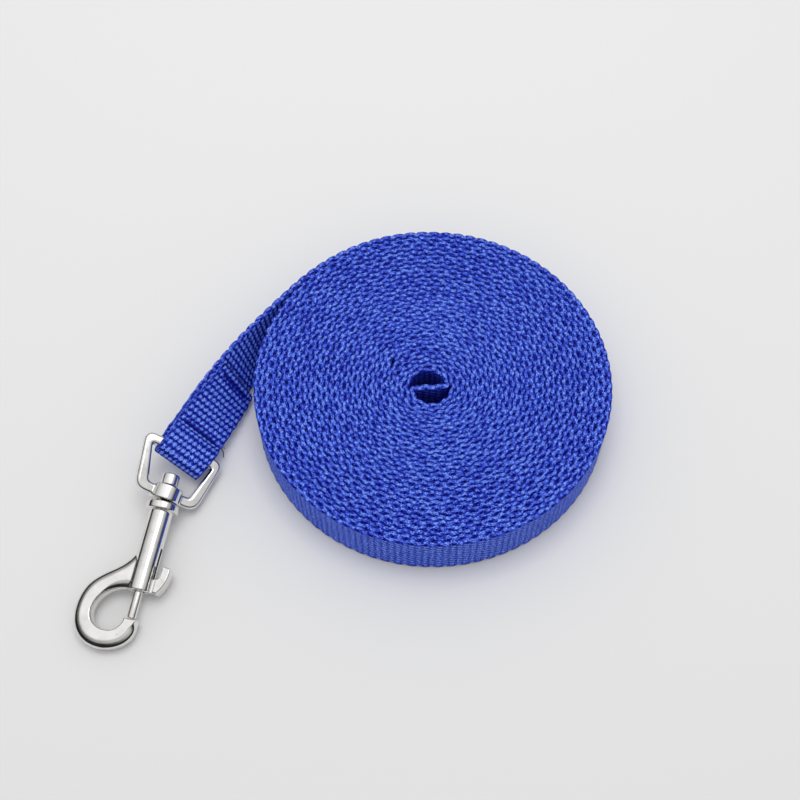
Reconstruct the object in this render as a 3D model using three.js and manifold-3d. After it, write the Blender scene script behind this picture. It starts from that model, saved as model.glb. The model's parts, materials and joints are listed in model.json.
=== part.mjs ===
// Training leash: flat webbing wound into a roll, with a sewn end loop that carries
// a swivel bolt snap. Millimetres, +Z up, the leash lies on the plane z = 0.
import * as THREE from 'three';
import { mergeVertices } from 'three/addons/utils/BufferGeometryUtils.js';
import Module from 'manifold-3d';

const wasm = await Module();
wasm.setup();

// ---------------------------------------------------------------- driving dimensions

const GAP = 0.3; // between pieces that touch

// webbing and roll
const WEB_WIDTH = 15;
const WEB_THICK = 1.45;
const ROLL_RADIUS = 49.2; // outer face of the last turn where the strap leaves
const HOLE_RADIUS = 5; // the open eye of the roll
const HOLE_OFFSET_Y = -2.5; // the eye sits off the roll's centre
const HAND_LOOP_RADIUS = 13; // doubled turns of the hand loop end here
const HAND_STITCH_GAP = 0.8; // room for the hand loop's stitching between the turns
const HAND_STITCHES = 3;
const HAND_STITCH_INSET = 2.5; // from the webbing's edges
const LEAVE_ANGLE = rad(124); // where the strap leaves the roll

// free stretch: the strap leaves on edge, straightens and rolls towards flat
const EASE_LENGTH = 66.8; // curvature dies away over this length
const STRAIGHT_LENGTH = 18.5; // straight from there to the fold
const ROLL_START = 24; // on edge up to here, then it rolls over evenly to the fold
const END_ROLL = rad(30); // tilt of the webbing at the fold, 90 degrees is on edge
const END_LIFT = 2.2; // the fold is carried this much off the surface
const LIFT_START = 0.4; // share of the free stretch where the lift begins

// end loop: the strap is folded back over itself round the bar of the eye and sewn
const DOUBLED_LENGTH = 30.5; // fold to cut end
const LOOP_DEPTH = 11; // fold to where the layers part
const LOOP_RISE = 3; // the layers are fully apart this much further on
const LOOP_OPENING = 4.2; // clear height inside the loop
const BAR_SETBACK = 4.8; // fold to the middle of the bar
const FAR_STITCH_INSET = 2.5; // cut end to the second stitch row
const THREAD_RADIUS = 0.25;
const STITCH_MARGIN = 1.5; // from the webbing's edges to the ends of a stitch row
const STITCH_RISE = 0.2; // how far the thread rises and dips along a row
const STITCHES = 5;

// hand loop's fold, which crosses the eye of the roll on edge
const TIP_ROOM = 0.5; // from its ends to the turns beside it
const TIP_RISE = 1.6; // its far end lies this much nearer the roll's middle

// eye: a cast ring, wide bar in the webbing, boss for the swivel on the narrow bar
const EYE_WIDE = 22.4;
const EYE_NARROW = 16.8;
const EYE_HEIGHT = 14.9;
const EYE_BAR = 2.2;
const EYE_THICK = 2.6;
const EYE_CORNER = 2.6;
const EYE_BEVEL = 0.5;
const BOSS_RADIUS = 4.1;
const BOSS_LENGTH = 4;
const BOSS_BORE = 1.9;
const EYE_HEADING = rad(-6); // the loose rivet lets the eye stand askew
const EYE_ROLL = rad(30);
const EYE_SHIFT = 0.4; // the webbing sits this much off the bar's middle
const BAR_HEIGHT = 7.3; // middle of the wide bar above the surface

// snap: measured along the shank from the middle of the boss
const SHANK_PITCH = rad(5.6); // the shank slopes down until the hook's belly rests
const FLANGE_TOP = 2.7;
const FLANGE_LENGTH = 2.2;
const FLANGE_RADIUS = 4.4;
const BARREL_RADIUS = 3.1;
const BARREL_END = 26.6;
const BORE_RADIUS = 1.6;
const BORE_START = 6.2;
const SLOT_WIDTH = 2;
const SLOT_START = 14.6;
const HOOK_THICK = 4.4;
const HOOK_BEVEL = 1;
const TIP_SEAT = 33.9;
const RIVET_SHAFT = 1.4;
const RIVET_PLAY = 0.5; // lets the eye turn and tilt between the head and the flange
const RIVET_HEAD_RADIUS = 2.4;
const RIVET_HEAD_LENGTH = 3.1;
const RIVET_HEAD_EDGE = 0.4;
const RIVET_SOCKET_RADIUS = 1.7;
const RIVET_SOCKET_DEPTH = 2.3;
const BOLT_RADIUS = 1.2;
const BOLT_BACK = 17.6;
const BOLT_EDGE = 0.2;
const LEVER_THICK = 1.5; // stem in the slot
const LEVER_WIDTH = 4; // thumb tab
const LEVER_FOOT = 3.6; // stem's length along the slot
const LEVER_EDGE = 0.4;
const SPRING_WIRE = 0.2;
const SPRING_MEAN_RADIUS = 1.15;
const SPRING_TURNS = 8;

const COLOURS = { webbing: 0x2438a8, thread: 0x141f6e, chrome: 0xd4d6d8, steel: 0x9a9da1 };

// ---------------------------------------------------------------- helpers

function rad(degrees) {
  return (degrees * Math.PI) / 180;
}

function smooth(x) {
  const t = Math.min(Math.max(x, 0), 1);
  return t * t * (3 - 2 * t);
}

function material(slot) {
  const metal = slot === 'chrome' || slot === 'steel';
  return new THREE.MeshStandardMaterial({
    color: COLOURS[slot],
    roughness: metal ? 0.15 : 0.85,
    metalness: metal ? 1 : 0,
  });
}

function named(name, geometry, slot) {
  const mesh = new THREE.Mesh(geometry, material(slot));
  mesh.name = name;
  return mesh;
}

function positionsOnly(geometry) {
  const bare = geometry.clone();
  bare.deleteAttribute('normal');
  bare.deleteAttribute('uv');
  return mergeVertices(bare, 1e-4);
}

function toSolid(geometry) {
  const merged = positionsOnly(geometry);
  return new wasm.Manifold(
    new wasm.Mesh({
      numProp: 3,
      vertProperties: new Float32Array(merged.attributes.position.array),
      triVerts: new Uint32Array(merged.index.array),
    }),
  );
}

function toGeometry(solid) {
  const mesh = solid.getMesh();
  const geometry = new THREE.BufferGeometry();
  geometry.setAttribute('position', new THREE.BufferAttribute(mesh.vertProperties, 3));
  geometry.setIndex(new THREE.BufferAttribute(mesh.triVerts, 1));
  geometry.computeVertexNormals();
  return geometry;
}

// A cylinder along -Y from one distance down the shank to another.
function shankCylinder(radius, from, to, x = 0, sides = 28) {
  const geometry = new THREE.CylinderGeometry(radius, radius, to - from, sides);
  geometry.translate(x, -(from + to) / 2, 0);
  return geometry;
}

function box(x0, x1, y0, y1, z0, z1) {
  const geometry = new THREE.BoxGeometry(x1 - x0, y1 - y0, z1 - z0);
  geometry.translate((x0 + x1) / 2, (y0 + y1) / 2, (z0 + z1) / 2);
  return geometry;
}

// A flat outline given thickness about z = 0, with bevelled edges inside the outline.
function plate(shape, thick, bevel, curveSegments = 12) {
  const geometry = new THREE.ExtrudeGeometry(shape, {
    depth: thick - 2 * bevel,
    bevelEnabled: bevel > 0,
    bevelThickness: bevel,
    bevelSize: bevel,
    bevelOffset: -bevel,
    bevelSegments: 2,
    curveSegments,
  });
  geometry.translate(0, 0, bevel - thick / 2);
  return geometry;
}

// ---------------------------------------------------------------- the strap's route

const TURN_CENTRE = ROLL_RADIUS - WEB_THICK / 2;
const FREE_LENGTH = EASE_LENGTH + STRAIGHT_LENGTH;

// Frames along the free stretch, every half millimetre: place, along, across and face.
const ROUTE = strapRoute(0.5);

function strapRoute(step) {
  const frames = [];
  let heading = LEAVE_ANGLE + Math.PI / 2;
  let x = TURN_CENTRE * Math.cos(LEAVE_ANGLE);
  let y = TURN_CENTRE * Math.sin(LEAVE_ANGLE);
  for (let s = 0; s <= FREE_LENGTH + 1e-6; s += step) {
    const rolled = smooth((s - ROLL_START) / (FREE_LENGTH - ROLL_START));
    const roll = Math.PI / 2 + (END_ROLL - Math.PI / 2) * rolled;
    const lift = END_LIFT * smooth((s / FREE_LENGTH - LIFT_START) / (1 - LIFT_START));
    const z = (WEB_WIDTH / 2) * Math.sin(roll) + (WEB_THICK / 2) * Math.cos(roll) + lift;
    const out = new THREE.Vector3(Math.sin(heading), -Math.cos(heading), 0);
    const across = out.clone().multiplyScalar(Math.cos(roll));
    across.z = Math.sin(roll);
    const face = out.clone().multiplyScalar(-Math.sin(roll));
    face.z = Math.cos(roll);
    frames.push({ place: new THREE.Vector3(x, y, z), across, face });
    const turn = (1 - smooth((s + step / 2) / EASE_LENGTH)) / TURN_CENTRE;
    x += step * Math.cos(heading + (turn * step) / 2);
    y += step * Math.sin(heading + (turn * step) / 2);
    heading += turn * step;
  }
  frames.endHeading = heading;
  frames.step = step;
  return frames;
}

// A point given by its distance along the strap, its place across it and its height
// over the strap's middle surface. Past the last frame the strap goes straight on.
function onStrap(s, across, face) {
  const last = ROUTE.length - 1;
  const at = Math.min(Math.max(s / ROUTE.step, 0), last);
  const low = Math.min(Math.floor(at), last - 1);
  const a = ROUTE[low];
  const b = ROUTE[low + 1];
  const t = at - low;
  const point = a.place.clone().lerp(b.place, t);
  point.addScaledVector(a.across.clone().lerp(b.across, t).normalize(), across);
  point.addScaledVector(a.face.clone().lerp(b.face, t).normalize(), face);
  const beyond = s - Math.min(Math.max(s, 0), FREE_LENGTH);
  point.x += beyond * Math.cos(ROUTE.endHeading);
  point.y += beyond * Math.sin(ROUTE.endHeading);
  return point;
}

// Lays a geometry whose x, y, z are along, across and face onto the strap's route. The
// sense of y is reversed, because across points to the right of the strap's run.
function layOnStrap(geometry) {
  const position = geometry.attributes.position;
  for (let i = 0; i < position.count; i += 1) {
    const point = onStrap(position.getX(i), -position.getY(i), position.getZ(i));
    position.setXYZ(i, point.x, point.y, point.z);
  }
  geometry.computeVertexNormals();
  return geometry;
}

// ---------------------------------------------------------------- webbing pieces

// The wound turns: outside a spiral with one step where the strap leaves, inside round.
function strapCoil() {
  const steps = 72;
  const outline = [];
  for (let i = 0; i <= steps; i += 1) {
    const angle = LEAVE_ANGLE - 2 * Math.PI + (2 * Math.PI * i) / steps;
    const room = GAP * (1 - smooth((4 * i) / steps)); // beside the leaving strap
    const radius = ROLL_RADIUS - WEB_THICK * (1 - i / steps) - room;
    outline.push(new THREE.Vector2(radius * Math.cos(angle), radius * Math.sin(angle)));
  }
  const shape = new THREE.Shape(outline);
  const hole = new THREE.Path();
  hole.absarc(0, HOLE_OFFSET_Y, HAND_LOOP_RADIUS + HAND_STITCH_GAP, 0, 2 * Math.PI);
  shape.holes.push(hole);
  return new THREE.ExtrudeGeometry(shape, {
    depth: WEB_WIDTH,
    bevelEnabled: false,
    curveSegments: 20,
  });
}

// The doubled turns of the hand loop, round the eye of the roll.
function handLoopTurns() {
  const shape = new THREE.Shape();
  shape.absarc(0, HOLE_OFFSET_Y, HAND_LOOP_RADIUS, 0, 2 * Math.PI);
  const hole = new THREE.Path();
  hole.absarc(0, HOLE_OFFSET_Y, HOLE_RADIUS, 0, 2 * Math.PI);
  shape.holes.push(hole);
  return new THREE.ExtrudeGeometry(shape, {
    depth: WEB_WIDTH,
    bevelEnabled: false,
    curveSegments: 20,
  });
}

// The fold of the hand loop: a short strip with one slow bend.
function handLoopTip() {
  const half = HOLE_RADIUS - TIP_ROOM;
  const middle = (side) => {
    const x = side * half;
    const y = HOLE_OFFSET_Y - 0.2 + (TIP_RISE / 2) * side + (TIP_RISE / 8) * side * side * side;
    return new THREE.Vector2(x, y);
  };
  const steps = 10;
  const front = [];
  const back = [];
  for (let i = 0; i <= steps; i += 1) {
    const point = middle((2 * i) / steps - 1);
    front.push(new THREE.Vector2(point.x, point.y - WEB_THICK / 2));
    back.unshift(new THREE.Vector2(point.x, point.y + WEB_THICK / 2));
  }
  return new THREE.ExtrudeGeometry(new THREE.Shape([...front, ...back]), {
    depth: WEB_WIDTH,
    bevelEnabled: false,
  });
}

// The single layer from the roll to the cut end of the folded part.
function strapTail() {
  const length = FREE_LENGTH - DOUBLED_LENGTH - 2 * GAP;
  const geometry = new THREE.BoxGeometry(length, WEB_WIDTH, WEB_THICK, 20, 2, 1);
  geometry.translate(GAP + length / 2, 0, 0);
  return layOnStrap(geometry);
}

// How far each layer bulges away from the other, along the doubled part.
function loopBulge(s) {
  return (LOOP_OPENING / 2) * smooth((s - FREE_LENGTH + LOOP_DEPTH) / LOOP_RISE);
}

// The doubled part: two layers side by side, open round the bar, closed by the fold.
function endLoop() {
  const start = FREE_LENGTH - DOUBLED_LENGTH;
  const nose = FREE_LENGTH - LOOP_OPENING / 2 - WEB_THICK;
  const mid = WEB_THICK / 2;
  const outside = [];
  const steps = 16;
  for (let i = 0; i <= steps; i += 1) {
    const s = start + ((nose - start) * i) / steps;
    outside.push(new THREE.Vector2(s, mid - WEB_THICK - loopBulge(s)));
  }
  const noseRadius = LOOP_OPENING / 2 + WEB_THICK;
  for (let i = 1; i < 8; i += 1) {
    const angle = -Math.PI / 2 + (Math.PI * i) / 8;
    outside.push(
      new THREE.Vector2(nose + noseRadius * Math.cos(angle), mid + noseRadius * Math.sin(angle)),
    );
  }
  for (let i = steps; i >= 0; i -= 1) {
    const s = start + ((nose - start) * i) / steps;
    outside.push(new THREE.Vector2(s, mid + WEB_THICK + loopBulge(s)));
  }
  const shape = new THREE.Shape(outside);
  shape.holes.push(loopOpening(nose, mid));
  const geometry = new THREE.ExtrudeGeometry(shape, {
    depth: WEB_WIDTH,
    bevelEnabled: false,
    steps: 2,
  });
  geometry.rotateX(Math.PI / 2);
  geometry.translate(0, WEB_WIDTH / 2, 0);
  return layOnStrap(geometry);
}

function loopOpening(nose, mid) {
  const inside = [];
  const start = FREE_LENGTH - LOOP_DEPTH;
  const steps = 6;
  for (let i = 0; i <= steps; i += 1) {
    const s = start + ((nose - start) * i) / steps;
    inside.push(new THREE.Vector2(s, mid - Math.max(loopBulge(s), 0.1)));
  }
  for (let i = 1; i < 6; i += 1) {
    const angle = -Math.PI / 2 + (Math.PI * i) / 6;
    const radius = LOOP_OPENING / 2;
    inside.push(new THREE.Vector2(nose + radius * Math.cos(angle), mid + radius * Math.sin(angle)));
  }
  for (let i = steps; i >= 0; i -= 1) {
    const s = start + ((nose - start) * i) / steps;
    inside.push(new THREE.Vector2(s, mid + Math.max(loopBulge(s), 0.1)));
  }
  return new THREE.Path(inside);
}

// A row of stitches: one thread that dips and rises along its run.
class StitchRun extends THREE.Curve {
  constructor(toPoint, count) {
    super();
    this.toPoint = toPoint;
    this.count = count;
  }

  getPoint(t, target = new THREE.Vector3()) {
    return target.copy(this.toPoint(t, 0.5 - 0.5 * Math.cos(2 * Math.PI * this.count * t)));
  }
}

function threadAlong(curve, steps) {
  const sides = 6;
  const section = [];
  for (let i = 0; i < sides; i += 1) {
    const angle = (2 * Math.PI * i) / sides;
    section.push(
      new THREE.Vector2(THREAD_RADIUS * Math.cos(angle), THREAD_RADIUS * Math.sin(angle)),
    );
  }
  return new THREE.ExtrudeGeometry(new THREE.Shape(section), { steps, extrudePath: curve });
}

function endStitch(s) {
  const surface = 1.5 * WEB_THICK + loopBulge(s) + THREAD_RADIUS + GAP / 3;
  const width = WEB_WIDTH - 2 * STITCH_MARGIN;
  const run = new StitchRun(
    (t, rise) => onStrap(s, (t - 0.5) * width, surface + STITCH_RISE * rise),
    STITCHES,
  );
  return threadAlong(run, 20);
}

// The bar tack that closes the hand loop, hidden between two turns of the roll.
function handLoopStitch() {
  const radius = HAND_LOOP_RADIUS + HAND_STITCH_GAP / 2;
  const spread = rad(36);
  const middle = rad(100);
  const run = new StitchRun((t, rise) => {
    const angle = middle + (t - 0.5) * spread;
    return new THREE.Vector3(
      radius * Math.cos(angle),
      HOLE_OFFSET_Y + radius * Math.sin(angle),
      WEB_WIDTH / 2 + (rise - 0.5) * (WEB_WIDTH - 2 * HAND_STITCH_INSET),
    );
  }, HAND_STITCHES);
  return threadAlong(run, 36);
}

// ---------------------------------------------------------------- swivel eye

// Local frame: middle of the wide bar, -Y towards the hook, X across, Z out of the ring.
function eyeOutline(inset) {
  const y0 = EYE_BAR / 2 - inset;
  const y1 = y0 - EYE_HEIGHT + 2 * inset;
  const wide = EYE_WIDE / 2 - inset;
  const narrow = EYE_NARROW / 2 - inset;
  const corner = EYE_CORNER - 0.8 * inset;
  return roundedPolygon(
    [
      new THREE.Vector2(-wide, y0),
      new THREE.Vector2(-narrow, y1),
      new THREE.Vector2(narrow, y1),
      new THREE.Vector2(wide, y0),
    ],
    corner,
  );
}

// Corners are rounded with quadratic curves that start a corner length from each point.
function roundedPolygon(points, corner) {
  const path = new THREE.Shape();
  points.forEach((point, i) => {
    const before = points[(i + points.length - 1) % points.length];
    const after = points[(i + 1) % points.length];
    const from = before.clone().sub(point).setLength(corner).add(point);
    const to = after.clone().sub(point).setLength(corner).add(point);
    if (i === 0) {
      path.moveTo(from.x, from.y);
    } else {
      path.lineTo(from.x, from.y);
    }
    path.quadraticCurveTo(point.x, point.y, to.x, to.y);
  });
  path.closePath();
  return path;
}

const BAR_TO_BOSS = EYE_HEIGHT - EYE_BAR;

function swivelEye() {
  const outline = eyeOutline(0);
  outline.holes.push(new THREE.Path(eyeOutline(EYE_BAR).getPoints(5)));
  const ring = toSolid(plate(outline, EYE_THICK, EYE_BEVEL, 5));
  const from = BAR_TO_BOSS - BOSS_LENGTH / 2;
  const boss = toSolid(shankCylinder(BOSS_RADIUS, from, from + BOSS_LENGTH));
  const bore = toSolid(shankCylinder(BOSS_BORE, from - 1, from + BOSS_LENGTH + 1));
  return toGeometry(ring.add(boss).subtract(bore));
}

// ---------------------------------------------------------------- hook parts

// Local frame: middle of the boss on the shank's axis, -Y along the shank to the hook.
function hookOutline() {
  const shape = new THREE.Shape();
  shape.moveTo(1, -12.5);
  shape.lineTo(-2.4, -13.5);
  shape.bezierCurveTo(-3.4, -20.5, -7.5, -21.2, -11.3, -24.8);
  shape.bezierCurveTo(-14.2, -27.4, -14.9, -31, -14.7, -34.4);
  shape.bezierCurveTo(-14.2, -39.6, -10.4, -42.7, -5.8, -42.6);
  shape.bezierCurveTo(-2, -42.5, 1.9, -40.2, 2.1, -36.4);
  shape.lineTo(2.1, -TIP_SEAT);
  shape.lineTo(-1.5, -TIP_SEAT);
  shape.bezierCurveTo(-2.2, -36.5, -3.6, -37.6, -5.6, -37.5);
  shape.bezierCurveTo(-8.2, -37.4, -10, -35.6, -9.9, -33.2);
  shape.bezierCurveTo(-9.7, -29.6, -6.6, -26.4, -2.4, -26.4);
  shape.lineTo(1, -26.4);
  shape.closePath();
  return shape;
}

function hookBody() {
  const hook = toSolid(plate(hookOutline(), HOOK_THICK, HOOK_BEVEL, 7));
  const barrel = toSolid(shankCylinder(BARREL_RADIUS, FLANGE_TOP + 1, BARREL_END));
  const flange = toSolid(shankCylinder(FLANGE_RADIUS, FLANGE_TOP, FLANGE_TOP + FLANGE_LENGTH));
  const bore = toSolid(shankCylinder(BORE_RADIUS, BORE_START, TIP_SEAT - 0.5, 0, 20));
  const socketEnd = FLANGE_TOP + RIVET_SOCKET_DEPTH;
  const socket = toSolid(shankCylinder(RIVET_SOCKET_RADIUS, FLANGE_TOP - 1, socketEnd, 0, 20));
  const half = SLOT_WIDTH / 2;
  const slot = toSolid(box(0, 6, -BARREL_END - 1, -SLOT_START, -half, half));
  return toGeometry(hook.add(barrel).add(flange).subtract(bore).subtract(socket).subtract(slot));
}

// The rivet holds the eye on the shank: head inside the ring, shaft through the boss.
function swivelRivet() {
  const headStart = BOSS_LENGTH / 2 + RIVET_PLAY;
  const headEnd = headStart + RIVET_HEAD_LENGTH;
  const tip = -(FLANGE_TOP + RIVET_SOCKET_DEPTH - GAP);
  const profile = [
    new THREE.Vector2(0, tip),
    new THREE.Vector2(RIVET_SHAFT, tip),
    new THREE.Vector2(RIVET_SHAFT, headStart),
    new THREE.Vector2(RIVET_HEAD_RADIUS, headStart),
    new THREE.Vector2(RIVET_HEAD_RADIUS, headEnd - RIVET_HEAD_EDGE),
    new THREE.Vector2(RIVET_HEAD_RADIUS - RIVET_HEAD_EDGE, headEnd),
    new THREE.Vector2(0, headEnd),
  ];
  return new THREE.LatheGeometry(profile, 24);
}

function boltPin() {
  const end = TIP_SEAT - GAP;
  const profile = [
    new THREE.Vector2(0, -end),
    new THREE.Vector2(BOLT_RADIUS - BOLT_EDGE, -end),
    new THREE.Vector2(BOLT_RADIUS, -end + BOLT_EDGE),
    new THREE.Vector2(BOLT_RADIUS, -BOLT_BACK),
    new THREE.Vector2(0, -BOLT_BACK),
  ];
  return new THREE.LatheGeometry(profile, 20);
}

// A stem that stands in the slot and a tab that curves up along the barrel.
function thumbLever() {
  const foot = -(BARREL_END - 0.1);
  const top = foot + LEVER_FOOT;
  const half = LEVER_THICK / 2;
  const stem = toSolid(box(BOLT_RADIUS + GAP, 5.2, foot, top, -half, half));
  const tab = new THREE.Shape();
  tab.moveTo(3.7, foot);
  tab.lineTo(4.9, foot - 0.2);
  tab.bezierCurveTo(6.6, -24.6, 7.2, -22.4, 7, -19.6);
  tab.lineTo(4.6, -19.2);
  tab.bezierCurveTo(4.8, -21.6, 4.5, -23, 3.7, top);
  tab.closePath();
  return toGeometry(stem.add(toSolid(plate(tab, LEVER_WIDTH, LEVER_EDGE, 6))));
}

// The spring that pushes the bolt out, between the bore's end and the bolt's back.
class Helix extends THREE.Curve {
  getPoint(t, target = new THREE.Vector3()) {
    const from = BORE_START + GAP + SPRING_WIRE;
    const to = BOLT_BACK - GAP - SPRING_WIRE;
    const angle = 2 * Math.PI * SPRING_TURNS * t;
    return target.set(
      SPRING_MEAN_RADIUS * Math.cos(angle),
      -(from + (to - from) * t),
      SPRING_MEAN_RADIUS * Math.sin(angle),
    );
  }
}

function boltSpring() {
  const w = SPRING_WIRE;
  const section = new THREE.Shape([
    new THREE.Vector2(w, 0),
    new THREE.Vector2(0, w),
    new THREE.Vector2(-w, 0),
    new THREE.Vector2(0, -w),
  ]);
  return new THREE.ExtrudeGeometry(section, { steps: SPRING_TURNS * 14, extrudePath: new Helix() });
}

// ---------------------------------------------------------------- assembly

function webbing() {
  const group = new THREE.Group();
  group.add(named('strap_coil', strapCoil(), 'webbing'));
  group.add(named('hand_loop_turns', handLoopTurns(), 'webbing'));
  group.add(named('hand_loop_tip', handLoopTip(), 'webbing'));
  group.add(named('strap_tail', strapTail(), 'webbing'));
  group.add(named('end_loop', endLoop(), 'webbing'));
  group.add(named('hand_loop_stitch', handLoopStitch(), 'thread'));
  group.add(named('end_stitch_near', endStitch(FREE_LENGTH - LOOP_DEPTH - 0.7), 'thread'));
  const farRow = FREE_LENGTH - DOUBLED_LENGTH + FAR_STITCH_INSET;
  group.add(named('end_stitch_far', endStitch(farRow), 'thread'));
  return group;
}

function snap() {
  const bar = onStrap(FREE_LENGTH - BAR_SETBACK, 0, WEB_THICK / 2);
  bar.z = BAR_HEIGHT;

  const eye = new THREE.Group();
  eye.position.copy(bar);
  eye.rotation.set(SHANK_PITCH, EYE_ROLL, EYE_HEADING, 'ZXY');
  eye.translateX(-EYE_SHIFT);
  eye.add(named('swivel_eye', swivelEye(), 'chrome'));
  eye.updateMatrixWorld(true);

  const shank = new THREE.Group();
  shank.position.copy(eye.localToWorld(new THREE.Vector3(0, -BAR_TO_BOSS, 0)));
  shank.rotation.x = SHANK_PITCH;
  shank.add(named('swivel_rivet', swivelRivet(), 'chrome'));
  shank.add(named('hook_body', hookBody(), 'chrome'));
  shank.add(named('bolt_pin', boltPin(), 'chrome'));
  shank.add(named('thumb_lever', thumbLever(), 'chrome'));
  shank.add(named('bolt_spring', boltSpring(), 'steel'));

  const group = new THREE.Group();
  group.add(eye, shank);
  return group;
}

const group = new THREE.Group();
group.add(webbing(), snap());

// The origin is under the middle of the whole leash, on the surface it lies on.
const bounds = new THREE.Box3().setFromObject(group, true);
const centre = bounds.getCenter(new THREE.Vector3());
group.position.set(-centre.x, -centre.y, -bounds.min.z);
group.updateMatrixWorld(true);

export default group;
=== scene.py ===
"""A training leash wound into a roll, with its snap lying beside it.

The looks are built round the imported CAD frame. Sizes are in millimetres until a mesh is
made, and Blender objects are in metres, in the row frame.
"""

import json
import math

import bmesh
import bpy
import numpy as np
from mathutils import Matrix, Vector


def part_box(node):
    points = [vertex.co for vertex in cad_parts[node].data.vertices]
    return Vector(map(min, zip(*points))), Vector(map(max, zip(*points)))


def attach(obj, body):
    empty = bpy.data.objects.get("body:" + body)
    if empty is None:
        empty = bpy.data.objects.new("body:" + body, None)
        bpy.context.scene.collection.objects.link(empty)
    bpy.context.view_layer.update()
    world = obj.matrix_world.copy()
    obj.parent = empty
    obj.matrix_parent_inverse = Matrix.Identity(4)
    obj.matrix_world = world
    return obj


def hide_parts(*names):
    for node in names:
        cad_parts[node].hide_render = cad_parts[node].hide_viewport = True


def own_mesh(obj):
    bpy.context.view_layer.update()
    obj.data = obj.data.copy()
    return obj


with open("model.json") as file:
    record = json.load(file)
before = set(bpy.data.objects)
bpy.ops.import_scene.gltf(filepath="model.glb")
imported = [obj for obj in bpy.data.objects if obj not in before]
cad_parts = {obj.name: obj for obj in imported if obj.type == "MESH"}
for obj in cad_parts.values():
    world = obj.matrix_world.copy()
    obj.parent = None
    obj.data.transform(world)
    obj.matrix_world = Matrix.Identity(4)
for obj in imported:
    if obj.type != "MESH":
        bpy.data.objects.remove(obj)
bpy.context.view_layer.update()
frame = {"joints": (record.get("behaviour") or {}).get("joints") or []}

# ---------------------------------------------------------------- driving sizes, mm

MM = 0.001
PI = math.pi

# the strap and its route, as in the CAD model
WIDTH = 15.0
THICK = 1.45
ROLL_RADIUS = 49.2
TURN_CENTRE = ROLL_RADIUS - THICK / 2
HOLE_OFFSET_Y = -2.5
LEAVE = math.radians(124)
EASE_LENGTH = 66.8
FREE_LENGTH = EASE_LENGTH + 18.5
ROLL_START = 24.0
END_ROLL = math.radians(30)
END_LIFT = 2.2
LIFT_START = 0.4
DOUBLED_LENGTH = 30.5
LOOP_DEPTH = 11.0
LOOP_RISE = 3.0
FAR_STITCH_INSET = 2.5

# the winding
SINGLE_TURNS = 24.93  # from the hand loop's cut end to the rim
HAND_LOOP_RADIUS = 12.62  # middle of the strap where the hand loop's layers end
INNER_PITCH = 1.34
PITCH_GROWTH = 0.05  # turns are this share tighter inside and looser outside
EYE_RADIUS = 5.15  # middle of the first turn round the hole
STEP_TURNS = 12.0  # the step over the cut end has died away after these turns
DROP_ANGLE = math.radians(17)

# the weave
PICK = 1.74  # spacing of the weft
COLUMN = 0.75  # spacing of the warp ends
COLUMNS = 20

# ---------------------------------------------------------------- small helpers


def smooth(x):
    """0 below 0 and 1 above 1, with an even bend between."""
    t = np.clip(x, 0, 1)
    return t * t * (3 - 2 * t)


def coil_centre():
    """The middle of the roll on the surface it lies on, in mm."""
    low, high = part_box("hand_loop_turns")
    middle = (low + high) / 2 / MM
    return np.array([middle.x, middle.y - HOLE_OFFSET_Y, 0.0])


CENTRE = coil_centre()


def unit(v):
    """Vectors of length 1 in the directions of v."""
    return v / np.linalg.norm(v, axis=-1, keepdims=True)


# ---------------------------------------------------------------- the strap's centre line


def roll_radius(theta):
    """Radius of the strap's middle at an unwrapped winding angle."""
    end = LEAVE
    start = LEAVE - 2 * PI * SINGLE_TURNS
    t = (theta - start) / (end - start)
    plain = HAND_LOOP_RADIUS + (TURN_CENTRE - HAND_LOOP_RADIUS) * (t + PITCH_GROWTH * t * (t - 1))
    turn = (theta - start) / (2 * PI)
    part = turn - np.floor(turn)
    step = INNER_PITCH * np.clip(1 - turn / STEP_TURNS, 0, 1)
    climb = part + 1 - smooth(part * 2 * PI / DROP_ANGLE)
    single = plain + step * climb
    double = HAND_LOOP_RADIUS + INNER_PITCH + 2 * INNER_PITCH * turn
    return np.where(theta < start, double, single)


def wound_point(theta, radius):
    """A point of the winding, whose centre moves from the hole's to the rim's."""
    share = 1 - (radius - EYE_RADIUS) / (TURN_CENTRE - EYE_RADIUS)
    x = radius * np.cos(theta)
    y = radius * np.sin(theta) + HOLE_OFFSET_Y * np.clip(share, 0, 1)
    return np.stack([x, y], -1)


def winding():
    """The wound strap from the hand loop's cut end, through the hole, out to the rim."""
    joint = LEAVE - 2 * PI * SINGLE_TURNS
    double_turns = (HAND_LOOP_RADIUS + INNER_PITCH - EYE_RADIUS) / (2 * INNER_PITCH)
    first = joint - 2 * PI * double_turns
    outward = np.linspace(first, LEAVE, 40000)
    main = wound_point(outward, roll_radius(outward))
    inward = np.linspace(joint - PI, first, 4000)
    other = wound_point(inward + PI, roll_radius(inward))
    crossing = hole_crossing(first)
    return other, crossing, main


def hole_crossing(angle):
    """The S of the hand loop's fold across the hole, between its two layers."""
    arm = EYE_RADIUS * np.array([math.cos(angle), math.sin(angle)])
    tangent = 1.35 * EYE_RADIUS * np.array([-math.sin(angle), math.cos(angle)])
    middle = np.array([0, HOLE_OFFSET_Y])
    t = np.linspace(0, 1, 200)[:, None]
    ends = -arm * (1 - t) ** 3 + arm * t**3
    pulls = 3 * t * (1 - t) ** 2 * (tangent - arm) + 3 * t**2 * (1 - t) * (arm - tangent)
    return middle + ends + pulls


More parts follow.
